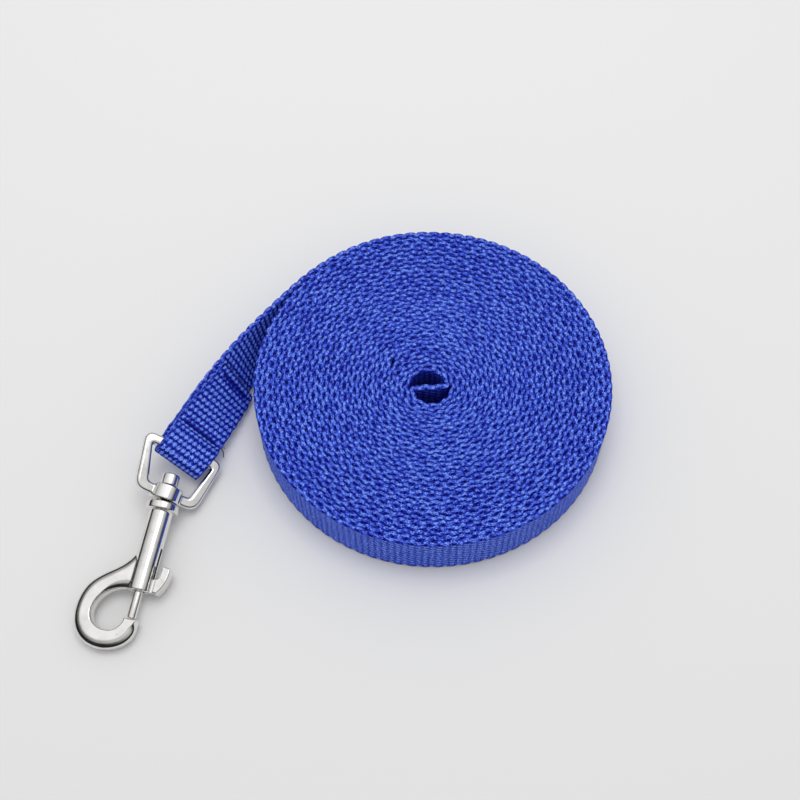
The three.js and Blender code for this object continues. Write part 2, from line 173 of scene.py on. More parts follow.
def free_stretch(step=0.1):
    """Places and across directions of the strap from the rim to the fold."""
    s = np.arange(0, FREE_LENGTH + step / 2, step)
    turn = (1 - smooth((s + step / 2) / EASE_LENGTH)) / TURN_CENTRE * step
    heading = LEAVE + PI / 2 + np.concatenate([[0], np.cumsum(turn)[:-1]])
    middle = heading + turn / 2
    x = TURN_CENTRE * math.cos(LEAVE) + np.concatenate([[0], np.cumsum(step * np.cos(middle))[:-1]])
    y = TURN_CENTRE * math.sin(LEAVE) + np.concatenate([[0], np.cumsum(step * np.sin(middle))[:-1]])
    rolled = smooth((s - ROLL_START) / (FREE_LENGTH - ROLL_START))
    roll = PI / 2 + (END_ROLL - PI / 2) * rolled
    lift = END_LIFT * smooth((s / FREE_LENGTH - LIFT_START) / (1 - LIFT_START))
    z = WIDTH / 2 * np.sin(roll) + THICK / 2 * np.cos(roll) + lift
    out = np.stack([np.sin(heading), -np.cos(heading), np.zeros_like(s)], -1)
    up = np.array([0, 0, 1.0])
    across = out * np.cos(roll)[:, None] + up * np.sin(roll)[:, None]
    face = -out * np.sin(roll)[:, None] + up * np.cos(roll)[:, None]
    return s, np.stack([x, y, z], -1), across, face, heading[-1]


CAD_LOOP_OPENING = 4.2  # places the fold
LOOP_OPENING = 3.5  # clear height round the bar, less than the CAD solid's
LAYER_GAP = 0.03


def loop_bulge(s):
    """How far either layer stands off the middle of the loop round the bar."""
    return LOOP_OPENING / 2 * smooth((s - FREE_LENGTH + LOOP_DEPTH) / LOOP_RISE)


def folded_strap():
    """The free stretch, its fold round the bar, and the layer that comes back."""
    s, place, across, face, heading = free_stretch()
    nose = FREE_LENGTH - CAD_LOOP_OPENING / 2 - THICK
    out = s <= nose
    back = out & (s >= FREE_LENGTH - DOUBLED_LENGTH)
    lower = place[out] - face[out] * loop_bulge(s[out])[:, None]
    rise = (THICK + LAYER_GAP + loop_bulge(s[back]))[:, None]
    upper = (place[back] + face[back] * rise)[::-1]
    last = np.flatnonzero(out)[-1]
    along = np.array([math.cos(heading), math.sin(heading), 0.0])
    radius = (THICK + LAYER_GAP) / 2 + LOOP_OPENING / 2
    middle = place[last] + face[last] * (THICK + LAYER_GAP) / 2
    angle = np.linspace(-PI / 2, PI / 2, 60)[1:-1, None]
    bend = middle + radius * (along * np.cos(angle) + face[last] * np.sin(angle))
    bend_across = np.repeat(across[last][None], len(bend), 0)
    places = np.concatenate([lower, bend, upper])
    acrosses = np.concatenate([across[out], bend_across, across[back][::-1]])
    return places, acrosses


def whole_strap():
    """Every point of the strap's middle: place, across and distance from the rim."""
    other, crossing, main = winding()
    wound = np.concatenate([other[:-1], crossing, main[1:]])
    z = np.full(len(wound), WIDTH / 2)
    wound = np.concatenate([wound, z[:, None]], 1)
    up = np.repeat(np.array([[0, 0, 1.0]]), len(wound), 0)
    places, across = folded_strap()
    places = np.concatenate([wound[:-1], places])
    across = np.concatenate([up[:-1], across])
    travel = np.concatenate([[0], np.cumsum(np.linalg.norm(np.diff(places, axis=0), axis=1))])
    return places, across, travel - travel[len(wound) - 1]


def path_length(points):
    """The length of a line through points."""
    return float(np.linalg.norm(np.diff(points, axis=0), axis=1).sum())


PLACES, ACROSS, TRAVEL = whole_strap()
HOLE_FROM, HOLE_RUN = (path_length(part) for part in winding()[:2])
INNER_END = TRAVEL[0]
CUT_END = TRAVEL[-1]
FOLD = CUT_END - DOUBLED_LENGTH
NEAR_ROW = FOLD + LOOP_DEPTH + 0.7
FAR_ROW = CUT_END - FAR_STITCH_INSET


def sampled(values, s):
    """The strap's places or directions at the distances s."""
    return np.stack([np.interp(s, TRAVEL, values[:, k]) for k in range(3)], -1)


def strap_frames(s):
    """Place, along, across and face vectors of the strap at the distances s."""
    along = unit(sampled(PLACES, s + 0.2) - sampled(PLACES, s - 0.2))
    face = unit(np.cross(sampled(ACROSS, s), along))
    across = unit(np.cross(along, face))
    return sampled(PLACES, s), along, across, face


# ---------------------------------------------------------------- the weave's relief

KNOT_LONG = 0.78
KNOT_WIDE = 0.76
KNOT_SLANT = 0.22  # the ends lean a little, because their yarns are twisted
WOUND_LONGER = 0.30  # share that the knots are longer where the strap is wound
WOUND_FLATTER = 0.20  # share of the valleys' depth that is lost where the strap is wound
KNOT_DEPTH = 0.40  # share of the half thickness that the valleys lie lower
ZIGZAG = 0.38  # how far the outermost end swings, as a share of the half thickness
EDGE_DEEP = 0.80
SIDE_SWING = 0.07  # how far the selvedge swings to either side
RIDGE, RIDGE_REACH = 0.14, 0.48  # the selvedge falls away on either side of its swinging yarn
SECOND, SECOND_REACH = 0.13, 0.30  # a lesser yarn swings against it
PIT, PIT_SIDES, PIT_CHANCE = 0.78, 0.22, 0.40  # hole beside each knot: depth, by side, by chance
PIT_PLACE, PIT_LONG, PIT_WIDE = 0.84, 0.30, 0.34
DIMPLE, DIMPLE_REACH = 0.48, 0.28  # smaller holes between them, by chance
KNOB, EDGE_CHANCE = 0.08, 0.10
EDGE = WIDTH / 2 - EDGE_DEEP


def scatter(k, c):
    """A fixed random number from 0 to 1 for each knot."""
    value = np.sin(k * 12.9898 + c * 78.233) * 43758.5453
    return value - np.floor(value)


def wound(s):
    """1 where the strap is wound, 0 on its free end."""
    return 1 - smooth((s + 20) / 20)


def knot_relief(s, a, flip):
    """Height, from 0 to 1, of the knots on one face of the plain weave."""
    column = a / COLUMN + (COLUMNS - 1) / 2
    best = np.full(np.broadcast(s, a).shape, -1.0)
    for c in (np.floor(column), np.floor(column) + 1):
        odd = np.mod(c + flip, 2)
        pick = 2 * np.round((s / PICK - odd) / 2) + odd
        along = (s - PICK * pick) / (KNOT_LONG * (1 + WOUND_LONGER * wound(s)))
        aside = ((column - c) * COLUMN + KNOT_SLANT * (s - PICK * pick)) / KNOT_WIDE
        swell = 1 + 0.12 * (scatter(pick, c) - 0.5)
        best = np.maximum(best, swell - along**2 - aside**2)
    knot = 0.25 + 0.75 * np.clip(best, 0, 1) ** 0.6
    valley = 0.25 * (1 + np.clip(best, -0.4, 0) / 0.4)
    return np.where(best > 0, knot, valley)


def edge_drop(s, x, first):
    """How far the selvedge lies below its highest line. x is -1 to 1 through the strap."""
    turn = s / PICK - first
    swing = np.cos(PI * turn)
    zigzag = ZIGZAG * swing * (1.25 - 0.25 * swing**2)
    ridge = RIDGE * (1 - np.exp(-(((x - zigzag) / RIDGE_REACH) ** 2)))
    second = -SECOND * np.abs(swing) * np.exp(-(((x + zigzag) / SECOND_REACH) ** 2))
    pick = np.round(turn)
    side = 1 - 2 * np.mod(pick, 2)
    near = ((turn - pick) * PICK / PIT_LONG) ** 2 + ((x + PIT_PLACE * side) / PIT_WIDE) ** 2
    depth = PIT + PIT_SIDES * side + PIT_CHANCE * (scatter(pick, first + 40) - 0.5)
    pit = depth * np.exp(-near)
    half_pick = np.floor(turn) + 0.5
    chance = scatter(half_pick, first + 17)
    aside = (x - 1.4 * (chance - 0.5)) / DIMPLE_REACH
    beside = ((turn - half_pick) * PICK / DIMPLE_REACH) ** 2 + aside**2
    dimple = DIMPLE * scatter(half_pick, first + 5) * np.exp(-beside)
    knob = KNOB * (0.5 - 0.5 * np.cos(2 * PI * turn))
    drop = ridge + second + pit + dimple + knob
    return np.clip(drop + EDGE_CHANCE * scatter(pick, first + 71), 0, EDGE_DEEP)


# ---------------------------------------------------------------- strap meshes

LEAST_PITCH, PITCH_RISE, PITCH_POWER = 1.335, 0.15, 1.3  # spacing of the turns, out to the rim
PACKED = 0.985  # share of the spacing that the webbing fills
CROSSING_THICKER, CROSSING_FADE = 0.3, 3  # the single layer across the hole
SQUEEZE, SQUEEZE_REACH = 0.075, 7.0
SKEW = -0.8
HOLE_MARGIN, HOLE_FADE = 24, 4  # strap at either end of the crossing that lines the hole
PINCH, PINCH_REACH, PINCH_HALF_WIDTH, PINCH_FADE = 0.34, 0.48, 5.9, 1.2
WAVES = ((0.07, 9.3, 0.4), (0.06, 23.7, 1.9), (0.05, 61.0, 4.2), (0.03, 4.1, 3.3))
END_CURL, END_CURL_REACH = 0.3, 3  # the cut end lifts

# The relief attribute, which the webbing's colour follows: low values paint shade in the weave's valleys
# and pits, and values above 1 paint a highlight on the knot tops. Besides the knots, it is lowered where
# the webbing should look darker: painted shade in the stitch creases and on the turns in the hole.
FACE_TONE, WOUND_TONE, PINCH_PAINTED_SHADE, HOLE_PAINTED_SHADE = 1.12, 0.18, 2.2, 0.36
EDGE_TONE, EDGE_TONE_FALL, EDGE_TONE_LEAST = 1.02, 2.2, -0.1

# HOLE_START and HOLE_STOP also bound the painted shade on the turns in the hole.
HOLE_START = INNER_END + HOLE_FROM - HOLE_MARGIN
HOLE_STOP = INNER_END + HOLE_FROM + HOLE_RUN + HOLE_MARGIN
RIM_START = -305.0  # the outer turn, whose outside shows its weave


def local_thickness(s):
    """The webbing is squeezed where the turns lie closer than its own thickness."""
    place = sampled(PLACES, s)
    radius = np.hypot(place[:, 0], place[:, 1] - HOLE_OFFSET_Y / 2)
    shift = -HOLE_OFFSET_Y / (TURN_CENTRE - EYE_RADIUS)
    share = np.clip(radius / TURN_CENTRE, 0, 1)
    pitch = LEAST_PITCH + PITCH_RISE * share**PITCH_POWER
    pitch = pitch * (1 + shift * place[:, 1] / np.maximum(radius, 1))
    before = smooth((s - INNER_END - HOLE_FROM) / CROSSING_FADE)
    after = smooth((INNER_END + HOLE_FROM + HOLE_RUN - s) / CROSSING_FADE)
    packed = np.minimum(THICK, PACKED * pitch) + CROSSING_THICKER * (before * after)
    return np.where(s > 0, THICK, packed)


def squeeze(s):
    """The webbing's width, drawn in a little where it is folded round the bar."""
    return 1 - SQUEEZE * np.exp(-(((s - FOLD) / SQUEEZE_REACH) ** 2))


def skew(s):
    """The layer that comes back doesn't lie quite square on the one below."""
    return SKEW * smooth((s - FOLD) / (CUT_END - FOLD))


def in_hole(s):
    """1 on the turns round the hole and the fold across it, 0 elsewhere: where painted shade darkens the
    hole's walls.
    """
    return smooth((s - HOLE_START) / HOLE_FADE) * smooth((HOLE_STOP - s) / HOLE_FADE)


def pinch(s, a):
    """How far the stitches pull the webbing's face in."""
    near = np.exp(-(((s - NEAR_ROW) / PINCH_REACH) ** 2))
    far = np.exp(-(((s - FAR_ROW) / PINCH_REACH) ** 2))
    return PINCH * (near + far) * smooth((PINCH_HALF_WIDTH - abs(a)) / PINCH_FADE)


def unevenness(s):
    """How far each stretch of the wound strap stands above or below the next, in mm."""
    height = sum(size * np.sin(s / length + phase) for size, length, phase in WAVES)
    return height * (1 - smooth((s + 60) / 60))


def section(front, back, top, bottom):
    """Samples round the strap's section: kind of surface and place on it."""
    face = np.linspace(-EDGE, EDGE, 61)
    plain = np.array([-EDGE, EDGE])
    samples = [("front", a) for a in (face if front else plain)]
    samples += [("top", x) for x in np.linspace(1, -1, top)]
    samples += [("back", a) for a in (face if back else plain)[::-1]]
    samples += [("bottom", x) for x in np.linspace(-1, 1, bottom)]
    return samples


def strap_surface(s, samples):
    """Points, relief and weave coordinates of a stretch of strap. The relief paints shade and highlight
    into the webbing's colour.
    """
    place, along, across, face = strap_frames(s)
    half = local_thickness(s) / 2
    up = unevenness(s)
    shape = (len(s), len(samples))
    a = np.zeros(shape)
    n = np.zeros(shape)
    relief = np.zeros(shape)
    around = np.zeros(shape)
    for j, (kind, value) in enumerate(samples):
        if kind in ("front", "back"):
            sign = 1 if kind == "front" else -1
            knot = knot_relief(s, value, 0 if sign > 0 else 1)
            knot = knot + WOUND_FLATTER * wound(s) * (1 - knot)
            a[:, j] = value
            pulled = pinch(s, value)
            n[:, j] = sign * (half * (1 - KNOT_DEPTH * (1 - knot)) - pulled)
            # The knots' value paints shade in the valleys and a highlight on the tops, brighter on the free
            # end than on the wound turns.
            tone = (FACE_TONE - WOUND_TONE * wound(s)) * knot
            # Painted shade: the stitch creases and the turns in the hole are darkened here.
            relief[:, j] = tone - PINCH_PAINTED_SHADE * pulled - HOLE_PAINTED_SHADE * in_hole(s)
            around[:, j] = value
        else:
            sign = 1 if kind == "top" else -1
            drop = edge_drop(s, value, 1 if sign > 0 else 0)
            a[:, j] = sign * (WIDTH / 2 - drop)
            swing = np.cos(PI * (s / PICK - (1 if sign > 0 else 0)))
            n[:, j] = half * value + SIDE_SWING * swing
            # The selvedge's pits and dips are darkened in step with their drop: painted shade.
            relief[:, j] = np.clip(EDGE_TONE - EDGE_TONE_FALL * drop, EDGE_TONE_LEAST, 1)
            around[:, j] = sign * (WIDTH / 2 + THICK / 2 - value * THICK / 2)
    a = a * squeeze(s)[:, None] + (up + skew(s))[:, None]
    n += END_CURL * smooth((s - CUT_END + END_CURL_REACH) / END_CURL_REACH)[:, None]
    points = place[:, None] + across[:, None] * a[..., None] + face[:, None] * n[..., None]
    return points + CENTRE, relief, around


def closed_sweep(name, points, relief, around, s):
    """A closed mesh from rows of points, with a fan over each end."""
    rows, columns = relief.shape
    ends = points[[0, -1]].mean(1)
    vertices = np.concatenate([points.reshape(-1, 3), ends]) * MM
    i, j = np.meshgrid(np.arange(rows - 1), np.arange(columns), indexing="ij")
    following = (j + 1) % columns
    quads = np.stack(
        [i * columns + j, i * columns + following, (i + 1) * columns + following, (i + 1) * columns + j], -1
    ).reshape(-1, 4)
    ring = np.arange(columns)
    after = (ring + 1) % columns
    last = (rows - 1) * columns
    start_fan = np.stack([np.full(columns, rows * columns), after, ring], -1)
    end_fan = np.stack([np.full(columns, rows * columns + 1), last + ring, last + after], -1)
    corners = np.concatenate([quads.ravel(), start_fan.ravel(), end_fan.ravel()])
    sizes = np.concatenate([np.full(len(quads), 4), np.full(2 * columns, 3)])
    mesh = bpy.data.meshes.new(name)
    mesh.vertices.add(len(vertices))
    mesh.vertices.foreach_set("co", vertices.ravel())
    mesh.loops.add(len(corners))
    mesh.loops.foreach_set("vertex_index", corners)
    mesh.polygons.add(len(sizes))
    mesh.polygons.foreach_set("loop_start", np.concatenate([[0], np.cumsum(sizes)[:-1]]))
    mesh.polygons.foreach_set("use_smooth", np.ones(len(sizes), bool))
    mesh.update(calc_edges=True)
    heights = np.concatenate([relief.ravel(), [0.2, 0.2]])
    mesh.attributes.new("relief", "FLOAT", "POINT").data.foreach_set("value", heights)
    travel = np.repeat(s[:, None], columns, 1)
    weave = np.stack([travel, around], -1).reshape(-1, 2)
    weave = np.concatenate([weave, [[s[0], 0], [s[-1], 0]]])
    mesh.uv_layers.new(name="weave").data.foreach_set("uv", weave[corners].ravel())
    mesh.validate()
    piece = bpy.data.objects.new(name, mesh)
    bpy.context.scene.collection.objects.link(piece)
    return piece


def strap_piece(name, start, stop, picks_in, samples, nodes=()):
    """A stretch of strap. picks_in is the number of rows for each pick of the weave."""
    count = max(2, round((stop - start) / PICK * picks_in) + 1)
    s = np.linspace(start, stop, count)
    points, relief, around = strap_surface(s, samples)
    piece = closed_sweep(name, points, relief, around, s)
    piece.data.materials.append(WEBBING)
    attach(piece, "strap")
    if nodes:
        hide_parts(*nodes)
    return piece


# ---------------------------------------------------------------- materials


class Nodes:
    """A short way to build a node tree."""

    def __init__(self, name, kind="materials"):
        self.owner = getattr(bpy.data, kind).new(name)
        self.owner.use_nodes = True
        self.tree = self.owner.node_tree
        self.shader = self.tree.nodes.get("Principled BSDF")

    def add(self, kind, **settings):
        node = self.tree.nodes.new("ShaderNode" + kind)
        for key, value in settings.items():
            setattr(node, key, value)
        return node

    def link(self, output, target):
        self.tree.links.new(output, target)

    def math(self, operation, a, b):
        node = self.add("Math", operation=operation)
        for socket, value in zip(node.inputs, (a, b)):
            if isinstance(value, (int, float)):
                socket.default_value = value
            else:
                self.link(value, socket)
        return node.outputs[0]

    def ramp(self, value, stops):
        node = self.add("ValToRGB")
        elements = node.color_ramp.elements
        while len(elements) < len(stops):
            elements.new(0.5)
        for element, (place, colour) in zip(elements, stops):
            element.position = place
            element.color = (*colour, 1)
        self.link(value, node.inputs[0])
        return node.outputs[0]

    def mix(self, factor, a, b):
        node = self.add("Mix", data_type="RGBA")
        for name, value in (("Factor", factor), ("A", a), ("B", b)):
            if isinstance(value, tuple):
                node.inputs[name].default_value = value
            else:
                self.link(value, node.inputs[name])
        return node.outputs["Result"]

    def noise(self, vector, scale, detail=2.0):
        node = self.add("TexNoise")
        node.inputs["Scale"].default_value = scale
        node.inputs["Detail"].default_value = detail
        self.link(vector, node.inputs["Vector"])
        return node.outputs["Fac"]

    def mapped(self, vector, scale, degrees=0.0):
        node = self.add("Mapping")
        node.inputs["Scale"].default_value = scale
        node.inputs["Rotation"].default_value = (0, 0, math.radians(degrees))
        self.link(vector, node.inputs["Vector"])
        return node.outputs[0]

    def bump(self, height, strength, distance):
        node = self.add("Bump")
        node.inputs["Strength"].default_value = strength
        node.inputs["Distance"].default_value = distance
        self.link(height, node.inputs["Height"])
        self.link(node.outputs[0], self.shader.inputs["Normal"])

    def set(self, **values):
        for key, value in values.items():
            self.shader.inputs[key.replace("_", " ")].default_value = value


def webbing_material():
    """Blue yarn: strands, grains and filaments over the painted shade and highlight of the knots."""
    n = Nodes("webbing")
    relief = n.add("Attribute", attribute_name="relief").outputs["Fac"]
    weave = n.add("UVMap", uv_map="weave").outputs["UV"]
    filaments = n.noise(n.mapped(weave, (1.1, 8.0, 1.0), 16), 1.0, 3.0)
    strands = n.noise(n.mapped(weave, (1.9, 3.9, 1.0), -34), 1.0, 1.0)
    grains = n.noise(n.mapped(weave, (3.6, 3.2, 1.0), 20), 1.0, 1.0)
    patches = n.noise(weave, 0.09, 2.0)
    shade = relief
    for texture, weight in ((strands, 1.9), (grains, 1.3), (filaments, 0.7), (patches, 0.15)):
        shade = n.math("ADD", shade, n.math("MULTIPLY", n.math("SUBTRACT", texture, 0.5), weight))
    # The blue is the dye's own. The ramp's dark end paints shade in the valleys and pits, and its pale top,
    # above 0.80, paints a highlight on the knot tops.
    colour = n.ramp(
        n.math("MULTIPLY", shade, 0.8),
        [
            (0.05, (0.0004, 0.0012, 0.100)),
            (0.28, (0.004, 0.009, 0.340)),
            (0.54, (0.022, 0.050, 0.540)),
            (0.80, (0.125, 0.240, 0.780)),
            (1.0, (0.260, 0.430, 0.960)),
        ],
    )
    n.link(colour, n.shader.inputs["Base Color"])
    n.set(Roughness=0.6, Specular_IOR_Level=0.15)
    height = n.math("ADD", n.math("MULTIPLY", strands, 1.5), filaments)
    n.bump(height, 0.5, 0.0001)
    return n.owner


WEBBING = webbing_material()


def chrome_material():
    """Bright plate, clouded and lightly pitted."""
    n = Nodes("chrome")
    place = n.add("TexCoord").outputs["Object"]
    clouds = n.noise(place, 260.0, 3.0)
    waves = n.noise(place, 700.0, 1.0)
    specks = n.add("TexVoronoi", feature="F1")
    specks.inputs["Scale"].default_value = 420.0
    n.link(place, specks.inputs["Vector"])
    pits = n.math("LESS_THAN", specks.outputs["Distance"], 0.045)
    worn = n.math("ADD", n.math("MULTIPLY", clouds, 0.20), n.math("MULTIPLY", pits, 0.35))
    n.link(worn, n.shader.inputs["Roughness"])
    tone = n.math("SUBTRACT", clouds, n.math("MULTIPLY", pits, 0.5))
    stops = [(0.0, (0.25, 0.24, 0.23)), (0.35, (0.75, 0.737, 0.72)), (0.7, (0.87, 0.862, 0.85))]
    colour = n.ramp(tone, stops)
    n.link(colour, n.shader.inputs["Base Color"])
    n.set(Metallic=1.0)
    n.bump(waves, 0.03, 0.0002)
    return n.owner


def steel_material():
    """Drawn spring wire."""
    n = Nodes("spring_steel")
    place = n.add("TexCoord").outputs["Object"]
    drawn = n.noise(n.mapped(place, (900, 900, 900)), 1.0, 2.0)
    colour = n.ramp(drawn, [(0.3, (0.30, 0.30, 0.31)), (0.7, (0.52, 0.52, 0.54))])
    n.link(colour, n.shader.inputs["Base Color"])
    n.set(Metallic=1.0, Roughness=0.3)
    n.bump(drawn, 0.2, 0.00005)
    return n.owner


def thread_material():
    """Dark blue twisted sewing thread."""
    n = Nodes("thread")
    place = n.add("TexCoord").outputs["Object"]
    plies = n.noise(n.mapped(place, (2600, 2600, 5200)), 1.0, 2.0)
    colour = n.ramp(plies, [(0.3, (0.001, 0.002, 0.035)), (0.65, (0.007, 0.013, 0.16))])
    n.link(colour, n.shader.inputs["Base Color"])
    n.set(Roughness=0.45, Specular_IOR_Level=0.4)
    n.bump(plies, 0.5, 0.00006)
    return n.owner


CHROME = chrome_material()
THREAD = thread_material()
SPRING_STEEL = steel_material()


# ---------------------------------------------------------------- camera, floor and light

VIEW_DOWN = math.radians(61.27)
VIEW_TURN = math.radians(11.5)  # the object stands turned by this in front of the camera
VIEW_ROLL = math.radians(-0.58)
VIEW_DISTANCE = 338.0
VIEW_TARGET = (-8.5, 1.7)  # from the roll's centre, to the right and away from the camera
SENSOR, LENS = 36, 54

BACKDROP = 0.78  # brightness of the world to camera rays
DOME = 0.73  # and to diffuse rays
REFLECTED = ((0.0, 0.02), (0.28, 0.02), (0.40, 0.22), (0.55, 0.52), (0.85, 0.78), (1.0, 1.05))
REFLECTED_UP = (0.05, 0.20, 1.0)  # the direction that REFLECTED brightens towards
# FLOOR_NEAR to FLOOR_FAR is painted light: the floor's colour grows paler away from the camera, standing in
# for the key's fall-off.
FLOOR_NEAR, FLOOR_FAR, FLOOR_SLOPE = 0.69, 0.80, 2.5
GLOW_START, GLOW_FULL = 0.20, 0.70  # distances on the floor, in metres
FLOOR_SIZE, FLOOR_DROP = 3.0, 0.0002  # in metres
# place from the roll in view directions, width, height and power
KEY = (-30, 60, 740, 520, 440, 2.15)
STRIP = (250, 110, 700, 340, 440, 0.68)


def from_view(x, y, z):
    """A point or direction given to the right of, away from and above the roll, turned."""
    c, s = math.cos(VIEW_TURN), math.sin(VIEW_TURN)
    return Vector((x * c - y * s, x * s + y * c, z))


def make_camera():
    """A camera that looks at the leash at the set angle."""
    forward = from_view(0, math.cos(VIEW_DOWN), -math.sin(VIEW_DOWN))
    right = from_view(1, 0, 0)
    up = right.cross(forward)
    tilted_right = math.cos(VIEW_ROLL) * right + math.sin(VIEW_ROLL) * up
    tilted_up = math.cos(VIEW_ROLL) * up - math.sin(VIEW_ROLL) * right
    target = Vector(CENTRE) + from_view(*VIEW_TARGET, 0)
    place = (target - forward * VIEW_DISTANCE) * MM
    data = bpy.data.cameras.new("camera")
    data.sensor_width = SENSOR
    data.lens = LENS
    data.clip_start = 0.005
    camera = bpy.data.objects.new("camera", data)
    axes = Matrix((tilted_right, tilted_up, -forward)).transposed()
    camera.matrix_world = Matrix.Translation(place) @ axes.to_4x4()
    bpy.context.scene.collection.objects.link(camera)
    bpy.context.scene.camera = camera


def floor_material():
    """Pale, with painted light that makes it a little paler away from the camera, and a painted glow far
    off so that it is seen as bright as the backdrop.
    """
    n = Nodes("floor")
    n.set(Roughness=0.6)
    place = n.add("TexCoord").outputs["Object"]
    across = n.add("VectorMath", operation="DOT_PRODUCT")
    across.inputs[1].default_value = from_view(0, 1, 0)
    n.link(place, across.inputs[0])
    fade = n.math("ADD", n.math("MULTIPLY", across.outputs["Value"], FLOOR_SLOPE), 0.5)
    colour = n.ramp(fade, [(0.0, (FLOOR_NEAR,) * 3), (1.0, (FLOOR_FAR,) * 3)])
    n.link(colour, n.shader.inputs["Base Color"])
    away = n.add("VectorMath", operation="LENGTH")
    n.link(place, away.inputs[0])
    far = n.add("MapRange", interpolation_type="SMOOTHSTEP")
    far.inputs["From Min"].default_value = GLOW_START
    far.inputs["From Max"].default_value = GLOW_FULL
    n.link(away.outputs["Value"], far.inputs["Value"])
    seen = n.add("LightPath").outputs["Is Camera Ray"]
    glow = n.add("Emission")
    glow.inputs["Color"].default_value = (1, 1, 1, 1)
    glow.inputs["Strength"].default_value = BACKDROP
    mix = n.add("MixShader")
    n.link(n.math("MULTIPLY", far.outputs[0], seen), mix.inputs[0])
    n.link(n.shader.outputs[0], mix.inputs[1])
    n.link(glow.outputs[0], mix.inputs[2])
    n.link(mix.outputs[0], n.tree.nodes["Material Output"].inputs["Surface"])
    return n.owner


def make_floor():
    """The plain floor, which is not part of the object."""
    mesh = bpy.data.meshes.new("floor")
    size = FLOOR_SIZE
    corners = [(-size, -size, 0), (size, -size, 0), (size, size, 0), (-size, size, 0)]
    mesh.from_pydata(corners, [], [(0, 1, 2, 3)])
    mesh.materials.append(floor_material())
    floor = bpy.data.objects.new("floor", mesh)
    floor.location.z = -FLOOR_DROP
    bpy.context.scene.collection.objects.link(floor)


def area_light(name, x, y, z, width, height, power):
    """A soft box in view directions from the roll, in mm, aimed at the roll."""
    data = bpy.data.lights.new(name, "AREA")
    data.shape = "RECTANGLE"
    data.size = width * MM
    data.size_y = height * MM
    data.energy = power
    light = bpy.data.objects.new(name, data)
    place = Vector(CENTRE) + from_view(x, y, z)
    light.location = place * MM
    light.rotation_euler = (Vector(CENTRE) - place).to_track_quat("-Z", "Y").to_euler()
    bpy.context.scene.collection.objects.link(light)
    return light


def make_world():
    """An even dome for diffuse light, with a dark horizon in reflections and a pale backdrop."""
    n = Nodes("studio", "worlds")
    slope = n.add("VectorMath", operation="DOT_PRODUCT")
    slope.inputs[1].default_value = from_view(*REFLECTED_UP)
    n.link(n.add("TexCoord").outputs["Generated"], slope.inputs[0])
    reflected = n.ramp(slope.outputs["Value"], [(place, (value,) * 3) for place, value in REFLECTED])
    rays = n.add("LightPath").outputs
    glossy = n.mix(rays["Is Glossy Ray"], (DOME, DOME, DOME, 1), reflected)
    seen = n.mix(rays["Is Camera Ray"], glossy, (BACKDROP, BACKDROP, BACKDROP, 1))
    n.link(seen, n.tree.nodes["Background"].inputs[0])
    bpy.context.scene.world = n.owner


def make_light():
    """A key that lights but isn't reflected, and a strip that is only reflected."""
    key = area_light("key", *KEY)
    key.visible_glossy = False
    strip = area_light("strip", *STRIP)
    strip.visible_diffuse = False
    make_world()
    bpy.context.scene.view_settings.view_transform = "Standard"


# ---------------------------------------------------------------- the snap's frames and sizes

JOINTS = {joint["name"]: joint for joint in frame["joints"]}
BOSS_PLACE = Vector(JOINTS["hook_swivel"]["pos_m"])
BAR_PLACE = Vector(JOINTS["eye_hinge"]["pos_m"])
SHANK = Vector(JOINTS["hook_swivel"]["axis"]).normalized()

# The eye is up to 0.7 mm larger than its CAD solid, and its bar is 0.7 mm wider.
EYE_WIDE, EYE_NARROW, EYE_HEIGHT = 23.0, 17.4, 15.6
EYE_BAR, EYE_THICK, EYE_CORNER = 2.9, 2.8, 3.1
EYE_EDGE = 0.85
# The rest is as in the CAD model, along the shank from the middle of the boss.
BOSS_RADIUS, BOSS_LENGTH, BOSS_BORE = 4.1, 4.0, 1.9
FLANGE_TOP, FLANGE_LENGTH, FLANGE_RADIUS = 2.7, 2.2, 4.4
BARREL_RADIUS, BARREL_END = 3.1, 26.6
BORE_RADIUS, BORE_START = 1.6, 6.2
SOCKET_RADIUS, SOCKET_DEPTH = 1.7, 2.3
SLOT_WIDTH, SLOT_START = 2.0, 14.6
HOOK_THICK, TIP_SEAT = 4.4, 33.9
RIVET_SHAFT, RIVET_HEAD, RIVET_HEAD_LENGTH, RIVET_PLAY = 1.4, 2.4, 3.1, 0.5
BOLT_RADIUS, BOLT_BACK = 1.2, 17.6
LEVER_THICK, LEVER_WIDTH, LEVER_FOOT = 1.5, 4.0, 3.6
SPRING_WIRE, SPRING_RADIUS, SPRING_TURNS = 0.2, 1.15, 8
GAP = 0.3


def local_frame(x, y, origin):
    """A matrix from a part's own axes in millimetres to the row frame in metres."""
    z = x.cross(y)
    axes = Matrix((x, y, z)).transposed() * MM
    return Matrix.Translation(origin) @ axes.to_4x4()


SHANK_FRAME = local_frame(Vector((1, 0, 0)), SHANK, BOSS_PLACE)
EYE_FRAME = local_frame(
    -Vector(JOINTS["eye_hinge"]["axis"]).normalized(), (BAR_PLACE - BOSS_PLACE).normalized(), BAR_PLACE
)


# ---------------------------------------------------------------- solids in a part's own axes, mm


def solid(vertices, faces):
    """A closed solid whose faces all point outward, which the boolean cuts depend on."""
    mesh = bpy.data.meshes.new("solid")
    mesh.from_pydata([tuple(v) for v in vertices], [], faces)
    shell = bmesh.new()
    shell.from_mesh(mesh)
    bmesh.ops.recalc_face_normals(shell, faces=shell.faces)
    shell.to_mesh(mesh)
    shell.free()
    return bpy.data.objects.new("solid", mesh)


def grid_faces(rows, count, wrap=False):
    """Quads between rows of points, each a closed ring. wrap joins the last row to the first."""
    faces = []
    for row in range(rows if wrap else rows - 1):
        here, above = row * count, (row + 1) % rows * count
        for k in range(count):
            after = (k + 1) % count
            faces.append((here + k, here + after, above + after, above + k))
    return faces


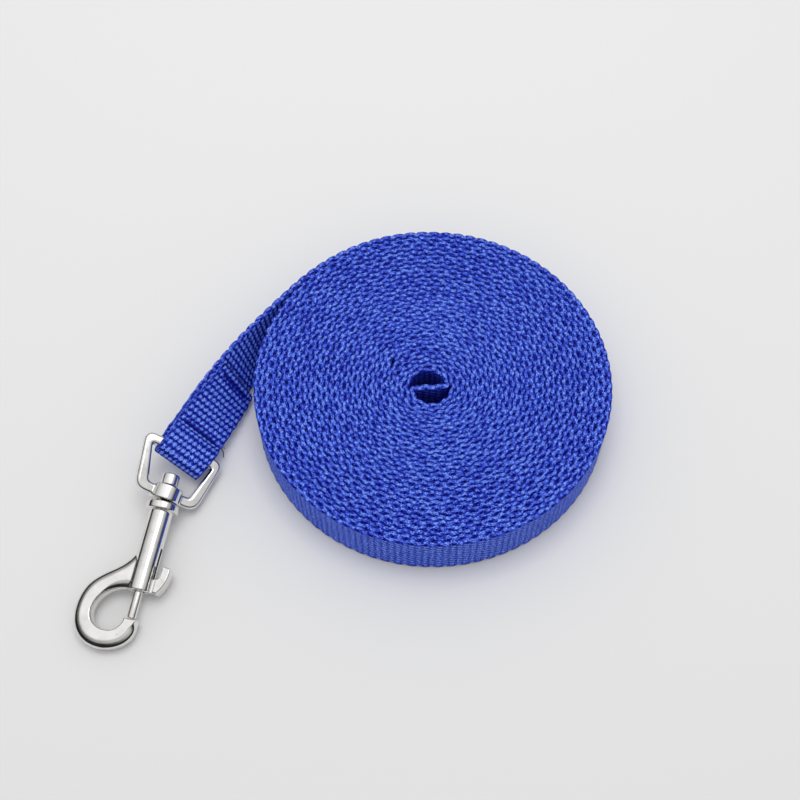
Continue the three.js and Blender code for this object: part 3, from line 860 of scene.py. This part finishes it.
def lathe(profile, segments=96):
    """A solid of revolution about Y from (radius, y) pairs that start and end on the axis."""
    middle = profile[1:-1]
    angles = [2 * PI * k / segments for k in range(segments)]
    vertices = [(r * math.cos(t), y, r * math.sin(t)) for r, y in middle for t in angles]
    first = len(vertices)
    vertices += [(0, profile[0][1], 0), (0, profile[-1][1], 0)]
    faces = grid_faces(len(middle), segments)
    last = (len(middle) - 1) * segments
    for k in range(segments):
        after = (k + 1) % segments
        faces.append((first, after, k))
        faces.append((first + 1, last + k, last + after))
    return solid(vertices, faces)


def rounded(radius, y, edge, turn, steps=6):
    """Profile points of a rounded edge: turn 1 goes from the end face to the side."""
    points = []
    for k in range(steps + 1):
        t = PI / 2 * (k / steps if turn > 0 else 1 - k / steps)
        side = 1 if turn > 0 else -1
        points.append((radius - edge + edge * math.sin(t), y + side * edge * (1 - math.cos(t))))
    return points


def rod(radius, start, end, edge=0.0, segments=96):
    """A cylinder along Y from start to end, with rounded edges."""
    if edge == 0:
        profile = [(0, start), (radius, start), (radius, end), (0, end)]
    else:
        profile = [(0, start), *rounded(radius, start, edge, 1), *rounded(radius, end, edge, -1), (0, end)]
    return lathe(profile, segments)


def block(x0, x1, y0, y1, z0, z1):
    """A box between two corners."""
    corners = [(x, y, z) for x in (x0, x1) for y in (y0, y1) for z in (z0, z1)]
    faces = [(0, 1, 3, 2), (4, 6, 7, 5), (0, 4, 5, 1), (2, 3, 7, 6), (0, 2, 6, 4), (1, 5, 7, 3)]
    return solid(corners, faces)


def bezier(a, b, c, d, steps=14):
    """Points of a cubic curve without its first point."""
    a, b, c, d = (np.array(p, float) for p in (a, b, c, d))
    t = np.linspace(0, 1, steps + 1)[1:, None]
    return list((1 - t) ** 3 * a + 3 * (1 - t) ** 2 * t * b + 3 * (1 - t) * t**2 * c + t**3 * d)


def outline_of(start, pieces):
    """An outline from a start point and pieces: one point for a line, three for a curve."""
    points = [np.array(start, float)]
    for piece in pieces:
        if len(piece) == 1:
            end = np.array(piece[0], float)
            steps = max(1, round(np.linalg.norm(end - points[-1]) / 0.6))
            points += [points[-1] + (end - points[-1]) * k / steps for k in range(1, steps + 1)]
        else:
            points += bezier(points[-1], *piece)
    return np.array(points)


def rounded_plate(outline, thick, insets, heights):
    """A plate whose edge rises in steps: insets[i] per point and heights for each step."""
    if np.allclose(outline[0], outline[-1]):
        outline = outline[:-1]
    count = len(outline)
    ahead = np.roll(outline, -1, 0) - np.roll(outline, 1, 0)
    ahead /= np.linalg.norm(ahead, axis=1)[:, None]
    area = np.sum(outline[:, 0] * np.roll(outline[:, 1], -1) - outline[:, 1] * np.roll(outline[:, 0], -1))
    inward = np.stack([-ahead[:, 1], ahead[:, 0]], -1) * (1 if area > 0 else -1)
    rings = []
    for share, height in heights:
        ring = outline + inward * (insets * share)[:, None]
        rings.append(np.column_stack([ring, np.full(count, height * thick / 2)]))
    lower = [ring * (1, 1, -1) for ring in rings[::-1]]
    rows = lower + rings
    vertices = np.concatenate(rows)
    faces = grid_faces(len(rows), count)
    faces.append(tuple(range((len(rows) - 1) * count, len(rows) * count)))
    faces.append(tuple(range(count))[::-1])
    return solid(vertices, faces if area > 0 else [face[::-1] for face in faces])


def boolean(base, other, operation):
    """Adds a union or a cut to a piece."""
    bpy.context.scene.collection.objects.link(other)
    modifier = base.modifiers.new("boolean", "BOOLEAN")
    modifier.operation = operation
    modifier.solver = "EXACT"
    modifier.object = other


def applied(piece):
    """Replaces a piece's mesh by what its modifiers make of it."""
    graph = bpy.context.evaluated_depsgraph_get()
    mesh = bpy.data.meshes.new_from_object(piece.evaluated_get(graph))
    piece.modifiers.clear()
    piece.data = mesh


def cast(name, parts, cuts, voxel, smoothing):
    """One solid from overlapping parts less the cuts, with the soft edges of a casting."""
    piece = parts[0]
    piece.name = name
    bpy.context.scene.collection.objects.link(piece)
    for other in parts[1:]:
        boolean(piece, other, "UNION")
    for other in cuts:
        boolean(piece, other, "DIFFERENCE")
    applied(piece)
    for other in parts[1:] + cuts:
        bpy.data.objects.remove(other)
    remesh = piece.modifiers.new("remesh", "REMESH")
    remesh.mode = "VOXEL"
    remesh.voxel_size = voxel
    soften = piece.modifiers.new("smooth", "SMOOTH")
    soften.factor = 0.5
    soften.iterations = smoothing
    applied(piece)
    return piece


def fit(piece, name, matrix, body, material, node):
    """Places a finished piece in the row frame, gives it its body and material, and hides the CAD part that
    it replaces.
    """
    piece.name = name
    piece.data.name = name
    piece.data.transform(matrix)
    piece.data.shade_smooth()
    piece.data.materials.clear()
    piece.data.materials.append(material)
    if piece.name not in bpy.context.scene.collection.objects:
        bpy.context.scene.collection.objects.link(piece)
    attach(piece, body)
    if node:
        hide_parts(node)


# ---------------------------------------------------------------- snap pieces

BEVEL_STEPS = [(0.0, 0.0), (0.0, 0.30), (0.08, 0.46), (0.28, 0.64), (0.60, 0.83), (0.94, 0.97), (1.0, 1.0)]


def hook_outline():
    """The hook from the barrel round its back to the tip, and along its inside again."""
    return outline_of(
        (1, -12.5),
        [
            [(-2.4, -13.5)],
            [(-3.4, -20.5), (-7.5, -21.2), (-11.3, -24.8)],
            [(-14.2, -27.4), (-14.9, -31), (-14.7, -34.4)],
            [(-14.2, -39.6), (-10.4, -42.7), (-5.8, -42.6)],
            [(-2, -42.5), (1.9, -40.2), (2.1, -36.4)],
            [(2.1, -TIP_SEAT)],
            [(-1.5, -TIP_SEAT)],
            [(-2.2, -36.5), (-3.6, -37.6), (-5.6, -37.5)],
            [(-8.2, -37.4), (-10, -35.6), (-9.9, -33.2)],
            [(-9.7, -29.6), (-6.6, -26.4), (-2.4, -26.4)],
            [(1, -26.4)],
            [(1, -12.5)],
        ],
    )


def hook_insets(outline):
    """The bevel is broad round the hook's back, small in its eye and nil at the corners."""
    away = np.hypot(outline[:, 0] + 6, outline[:, 1] + 34)
    width = 0.55 + 1.35 * np.clip((away - 5.2) / 2.6, 0, 1)
    for corner in ((1, -12.5), (-2.4, -13.5), (2.1, -TIP_SEAT), (-1.5, -TIP_SEAT), (1, -26.4)):
        distance = np.hypot(outline[:, 0] - corner[0], outline[:, 1] - corner[1])
        width = np.minimum(width, 0.08 + 0.6 * distance)
    at_tip = (abs(outline[:, 1] + TIP_SEAT) < 0.05) & (outline[:, 0] > -1.6) & (outline[:, 0] < 2.2)
    return np.where(at_tip, np.minimum(width, 0.3), width)


def make_hook():
    """The cast body: flange, socket, hollow barrel with its slot, and hook."""
    outline = hook_outline()
    plate = rounded_plate(outline, HOOK_THICK, hook_insets(outline[:-1]), BEVEL_STEPS)
    barrel = rod(BARREL_RADIUS, -BARREL_END, -FLANGE_TOP - 1, 0.35)
    flange = rod(FLANGE_RADIUS, -FLANGE_TOP - FLANGE_LENGTH, -FLANGE_TOP, 0.4)
    bore = rod(BORE_RADIUS, -TIP_SEAT + 0.5, -BORE_START)
    socket = rod(SOCKET_RADIUS, -FLANGE_TOP - SOCKET_DEPTH, -FLANGE_TOP + 1)
    half = SLOT_WIDTH / 2
    slot = block(0, 6, -BARREL_END - 1, -SLOT_START, -half, half)
    hook = cast("hook", [barrel, flange, plate], [bore, socket, slot], 0.17, 3)
    fit(hook, "snap_hook", SHANK_FRAME, "hook", CHROME, "hook_body")


def eye_path(inset):
    """Points round the ring's outline: a trapezoid with rounded corners."""
    y0 = EYE_BAR / 2 - inset
    y1 = y0 - EYE_HEIGHT + 2 * inset
    wide = EYE_WIDE / 2 - inset
    narrow = EYE_NARROW / 2 - inset
    corner = EYE_CORNER - 0.8 * inset
    corners = [np.array(p) for p in ((-wide, y0), (-narrow, y1), (narrow, y1), (wide, y0))]
    points = []
    for k, point in enumerate(corners):
        before = corners[k - 1] - point
        after = corners[(k + 1) % 4] - point
        start = point + before / np.linalg.norm(before) * corner
        end = point + after / np.linalg.norm(after) * corner
        points.append(start)
        points += bezier(start, start + (point - start) * 2 / 3, end + (point - end) * 2 / 3, end, 10)
    return np.array(points)


def ring_solid():
    """A flat bar with rounded edges, swept round the ring."""
    section = []
    for corner in range(4):
        for k in range(6):
            t = PI / 2 * (corner + k / 5)
            section.append((math.cos(t), math.sin(t)))
    half_wide, half_thick = EYE_BAR / 2 - EYE_EDGE, EYE_THICK / 2 - EYE_EDGE
    rings = []
    for c, s in section:
        side = math.copysign(half_wide, c if abs(c) > 1e-9 else s)
        depth = EYE_BAR / 2 + side + EYE_EDGE * c
        height = half_thick * (1 if s > 0 else -1) + EYE_EDGE * s
        rings.append((depth, height))
    count = len(eye_path(0))
    vertices = [(x, y, height) for depth, height in rings for x, y in eye_path(depth)]
    return solid(vertices, grid_faces(len(rings), count, wrap=True))


def make_eye():
    """The cast ring with its boss and bore."""
    middle = -(EYE_HEIGHT - EYE_BAR)
    boss = rod(BOSS_RADIUS, middle - BOSS_LENGTH / 2, middle + BOSS_LENGTH / 2, 0.35)
    bore = rod(BOSS_BORE, middle - BOSS_LENGTH, middle + BOSS_LENGTH)
    eye = cast("eye", [boss, ring_solid()], [bore], 0.15, 4)
    fit(eye, "snap_eye", EYE_FRAME, "eye", CHROME, "swivel_eye")


def make_rivet():
    """The rivet that the eye turns on."""
    start = BOSS_LENGTH / 2 + RIVET_PLAY
    end = start + RIVET_HEAD_LENGTH
    tip = -(FLANGE_TOP + SOCKET_DEPTH - GAP)
    head = rounded(RIVET_HEAD, start, 0.2, 1) + rounded(RIVET_HEAD, end, 0.45, -1)
    rivet = lathe([(0, tip), (RIVET_SHAFT, tip), (RIVET_SHAFT, start), *head, (0, end)])
    fit(rivet, "snap_rivet", SHANK_FRAME, "hook", CHROME, "swivel_rivet")


def make_bolt():
    """The sliding pin that closes the hook."""
    bolt = rod(BOLT_RADIUS, -TIP_SEAT + GAP, -BOLT_BACK, 0.3, 64)
    fit(bolt, "snap_bolt", SHANK_FRAME, "bolt", CHROME, "bolt_pin")


def make_lever():
    """The thumb tab on the bolt and its stem in the slot."""
    foot = -(BARREL_END - 0.1)
    top = foot + LEVER_FOOT
    half = LEVER_THICK / 2
    stem = block(BOLT_RADIUS + GAP, 5.2, foot, top, -half, half)
    outline = outline_of(
        (3.7, foot),
        [
            [(4.9, foot - 0.2)],
            [(6.6, -24.6), (7.2, -22.4), (7, -19.6)],
            [(4.6, -19.2)],
            [(4.8, -21.6), (4.5, -23), (3.7, top)],
            [(3.7, foot)],
        ],
    )
    insets = np.full(len(outline) - 1, 0.4)
    tab = rounded_plate(outline, LEVER_WIDTH, insets, [(0.0, 0.0), (0.0, 0.8), (0.3, 0.93), (1.0, 1.0)])
    lever = cast("lever", [stem, tab], [], 0.1, 4)
    fit(lever, "snap_lever", SHANK_FRAME, "bolt", CHROME, "thumb_lever")


def tube(points, radius, sides=10):
    """A closed tube along points, in millimetres."""
    points = np.asarray(points, float)
    ahead = np.gradient(points, axis=0)
    ahead /= np.linalg.norm(ahead, axis=1)[:, None]
    side = np.cross(ahead[0], (0.3, 0.2, 0.93))
    rows = []
    for place, forward in zip(points, ahead):
        side = side - forward * side.dot(forward)
        side /= np.linalg.norm(side)
        up = np.cross(forward, side)
        for k in range(sides):
            t = 2 * PI * k / sides
            rows.append(place + radius * (math.cos(t) * side + math.sin(t) * up))
    faces = grid_faces(len(points), sides)
    last = (len(points) - 1) * sides
    faces.append(tuple(range(sides))[::-1])
    faces.append(tuple(range(last, last + sides)))
    return solid(rows, faces)


def joined(name, solids):
    """Several closed solids in one mesh."""
    mesh = bpy.data.meshes.new(name)
    bm = bmesh.new()
    for part in solids:
        bm.from_mesh(part.data)
        bpy.data.objects.remove(part)
    bm.to_mesh(mesh)
    bm.free()
    return bpy.data.objects.new(name, mesh)


def on_strap(s, a, n):
    """A point in mm at strap coordinate s, a across the strap and n out of its face."""
    place, along, across, face = (v[0] for v in strap_frames(np.array([float(s)])))
    return place + across * (a * squeeze(s) + skew(s)) + face * n + CENTRE


THICK_THREAD, THIN_THREAD = 0.22, 0.19
FRAY_ENDS, FRAY_HALF_WIDTH, FRAY_ROOT = 26, 6.9, 0.3


def stitch_row(s, half_width, stitches, seed):
    """One thread that rises and dives along a row across the strap."""
    t = np.linspace(0, 1, stitches * 16)
    over = np.abs(np.sin(PI * stitches * t)) ** 0.6
    wander = 0.12 * np.sin(2 * PI * (stitches * t / 2 + 0.13 * seed)) + 0.08 * np.sin(7 * t + seed)
    height = THICK / 2 - 0.58 + 0.52 * over
    return [on_strap(s + w, a, n) for w, a, n in zip(wander, half_width * (2 * t - 1), height)]


def thread_tail(s, a, length, lean, seed):
    """A loose end of thread that leaves the strap's edge and curls."""
    t = np.linspace(0, 1, 14)
    root = on_strap(s, a, 0.2)
    outward = on_strap(s, a + math.copysign(1, a), 0.2) - root
    along = on_strap(s + 1, a, 0.2) - root
    curl = np.sin(2.6 * t + seed)[:, None]
    swing = along * (lean * length * t**2)[:, None]
    return root + outward * (length * t)[:, None] + swing + 0.22 * curl * t[:, None]


def make_thread(name, paths, node):
    """Threads along paths, as one piece."""
    solids = [tube(path, radius, 8) for path, radius in paths]
    fit(joined(name, solids), name, Matrix.Scale(MM, 4), "strap", THREAD, node)


def make_stitches():
    """Two rows of sewing through the doubled end, with loose ends."""
    near, far = NEAR_ROW, FAR_ROW
    near_paths = [
        (stitch_row(near, 5.2, 5, 0), THICK_THREAD),
        (stitch_row(near + 0.5, 5.0, 5, 2), THIN_THREAD),
        (thread_tail(near, -WIDTH / 2 + 0.5, 2.4, -0.75, 0.3), 0.13),
        (thread_tail(near + 0.4, -WIDTH / 2 + 0.4, 1.3, 0.4, 1.4), 0.09),
        (thread_tail(near + 0.2, WIDTH / 2 - 0.4, 1.1, 0.4, 2.2), 0.06),
    ]
    make_thread("thread_near_row", near_paths, "end_stitch_near")
    far_paths = [
        (stitch_row(far, 5.4, 5, 1), THICK_THREAD),
        (stitch_row(far - 0.5, 4.8, 5, 3), THIN_THREAD),
        (thread_tail(far, -WIDTH / 2 + 0.4, 0.9, 0.5, 0.8), 0.06),
    ]
    make_thread("thread_far_row", far_paths, "end_stitch_far")


def make_fray():
    """Short melted yarn ends along the strap's cut end."""
    paths = []
    for k in range(FRAY_ENDS):
        a = -FRAY_HALF_WIDTH + 2 * FRAY_HALF_WIDTH * (k + scatter(k, 3)) / FRAY_ENDS
        n = (scatter(k, 8) - 0.5) * 0.9
        length = 0.35 + 0.75 * scatter(k, 12)
        t = np.linspace(0, 1, 6)
        root = on_strap(CUT_END - FRAY_ROOT, a, n + 0.25)
        ahead = root - on_strap(CUT_END - FRAY_ROOT - 1, a, n + 0.25)
        side = on_strap(CUT_END - FRAY_ROOT, a + 1, n + 0.25) - root
        lean = (scatter(k, 21) - 0.5) * 1.2
        points = root + ahead * (0.3 + length * t)[:, None] + side * (lean * length * t**2)[:, None]
        paths.append((points, 0.10 + 0.07 * scatter(k, 30)))
    fray = joined("strap_end_fray", [tube(path, radius, 6) for path, radius in paths])
    fit(fray, "strap_end_fray", Matrix.Scale(MM, 4), "strap", THREAD, None)


def make_hidden_tack():
    """The hand loop's bar tack, between two turns of the roll."""
    t = np.linspace(0, 1, 90)
    radius = HAND_LOOP_RADIUS + 0.75
    angle = math.radians(100) + (t - 0.5) * math.radians(36)
    rise = 0.5 + 0.5 * np.sin(2 * PI * 5 * t)
    z = WIDTH / 2 + (rise - 0.5) * (WIDTH - 5)
    points = np.stack([radius * np.cos(angle), HOLE_OFFSET_Y + radius * np.sin(angle), z], -1) + CENTRE
    make_thread("thread_hand_loop", [(points, 0.16)], "hand_loop_stitch")


def make_spring():
    """The spring behind the bolt, which the slide presses flat."""
    start = BORE_START + GAP + SPRING_WIRE
    end = BOLT_BACK - GAP - SPRING_WIRE
    t = np.linspace(0, 1, SPRING_TURNS * 28)
    angle = 2 * PI * SPRING_TURNS * t
    eased = t - np.sin(2 * PI * t) * 0.04
    depth = -(start + (end - start) * eased)
    path = np.stack([SPRING_RADIUS * np.cos(angle), depth, SPRING_RADIUS * np.sin(angle)], -1)
    spring = tube(path, SPRING_WIRE)
    fit(spring, "snap_spring", SHANK_FRAME, "hook", SPRING_STEEL, "bolt_spring")
    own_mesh(spring)


# ---------------------------------------------------------------- assembly


def make_strap():
    """The strap in stretches, from the hand loop to the free end."""
    turns = section(False, False, 11, 4)
    rim = section(False, True, 11, 7)
    full = section(True, True, 11, 11)
    strap_piece("strap_hand_loop_end", INNER_END, HOLE_START, 6, turns, ["hand_loop_turns"])
    strap_piece("strap_hole_fold", HOLE_START, HOLE_STOP, 6, full, ["hand_loop_tip"])
    marks = np.linspace(HOLE_STOP, RIM_START, 5)
    for k in range(4):
        nodes = ["strap_coil"] if k == 0 else []
        strap_piece(f"strap_turns_{k + 1}", marks[k], marks[k + 1], 6, turns, nodes)
    strap_piece("strap_rim_turn", RIM_START, 0.0, 6, rim)
    strap_piece("strap_free_end", 0.0, CUT_END, 7, full, ["strap_tail", "end_loop"])


make_camera()
make_floor()
make_light()
make_strap()
make_hook()
make_eye()
make_rivet()
make_bolt()
make_lever()
make_spring()
make_stitches()
make_fray()
make_hidden_tack()
